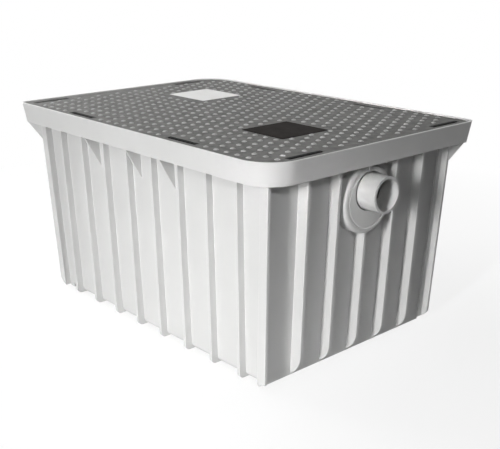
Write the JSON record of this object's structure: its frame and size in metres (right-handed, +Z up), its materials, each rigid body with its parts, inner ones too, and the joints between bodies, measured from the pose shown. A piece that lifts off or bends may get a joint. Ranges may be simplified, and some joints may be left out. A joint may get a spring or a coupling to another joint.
{
  "type": "grease separator",
  "caption": "Box-shaped ribbed plastic grease separator with flared rim, latched non-skid lid, pipe stubs, chutes and lift-out baffles.",
  "frame": {"origin": "on the ground under the middle of the tank", "axes": "+X along the flow towards the inlet stub, +Z up, +Y across the tank"},
  "size_m": [0.726, 0.488, 0.375],
  "materials": {
    "tank_plastic": "moulded, light grey",
    "lid_plastic": "moulded, mid grey, non-skid",
    "dark_plastic": "moulded, black",
    "inner_plastic": "moulded, grey",
    "seal_rubber": "black",
    "label_film": "off-white, bare",
    "dark_plate": "near black, bare"
  },
  "bodies": {
    "tank_body": {"tank": "tank_plastic", "inlet_stub": "tank_plastic", "outlet_stub": "tank_plastic", "flow_control_plate": "dark_plastic", "inlet_chute": "inner_plastic", "outlet_chute": "inner_plastic", "outlet_chute_cap": "inner_plastic", "inlet_baffle": "inner_plastic", "outlet_baffle": "inner_plastic"},
    "lid_body": {"lid": "lid_plastic", "lid_gasket": "seal_rubber", "lid_label": "label_film", "lid_plate": "dark_plate"},
    "latch_front_1_body": {"latch_front_1": "dark_plastic"},
    "latch_front_2_body": {"latch_front_2": "dark_plastic"},
    "latch_inlet_1_body": {"latch_inlet_1": "dark_plastic"},
    "latch_inlet_2_body": {"latch_inlet_2": "dark_plastic"},
    "latch_back_1_body": {"latch_back_1": "dark_plastic"},
    "latch_back_2_body": {"latch_back_2": "dark_plastic"},
    "latch_outlet_1_body": {"latch_outlet_1": "dark_plastic"},
    "latch_outlet_2_body": {"latch_outlet_2": "dark_plastic"}
  },
  "joints": [
    {"name": "lid_lift", "type": "slide", "parent": "tank_body", "child": "lid_body", "axis": [0, 0, 1], "range_m": [0, 0.22]},
    {"name": "latch_front_1_slide", "type": "slide", "parent": "lid_body", "child": "latch_front_1_body", "axis": [0, -1, 0], "range_m": [0, 0.0055]},
    {"name": "latch_front_2_slide", "type": "slide", "parent": "lid_body", "child": "latch_front_2_body", "axis": [0, -1, 0], "range_m": [0, 0.0055]},
    {"name": "latch_inlet_1_slide", "type": "slide", "parent": "lid_body", "child": "latch_inlet_1_body", "axis": [1, 0, 0], "range_m": [0, 0.0055]},
    {"name": "latch_inlet_2_slide", "type": "slide", "parent": "lid_body", "child": "latch_inlet_2_body", "axis": [1, 0, 0], "range_m": [0, 0.0055]},
    {"name": "latch_back_1_slide", "type": "slide", "parent": "lid_body", "child": "latch_back_1_body", "axis": [0, 1, 0], "range_m": [0, 0.0055]},
    {"name": "latch_back_2_slide", "type": "slide", "parent": "lid_body", "child": "latch_back_2_body", "axis": [0, 1, 0], "range_m": [0, 0.0055]},
    {"name": "latch_outlet_1_slide", "type": "slide", "parent": "lid_body", "child": "latch_outlet_1_body", "axis": [-1, 0, 0], "range_m": [0, 0.0055]},
    {"name": "latch_outlet_2_slide", "type": "slide", "parent": "lid_body", "child": "latch_outlet_2_body", "axis": [-1, 0, 0], "range_m": [0, 0.0055]}
  ]
}
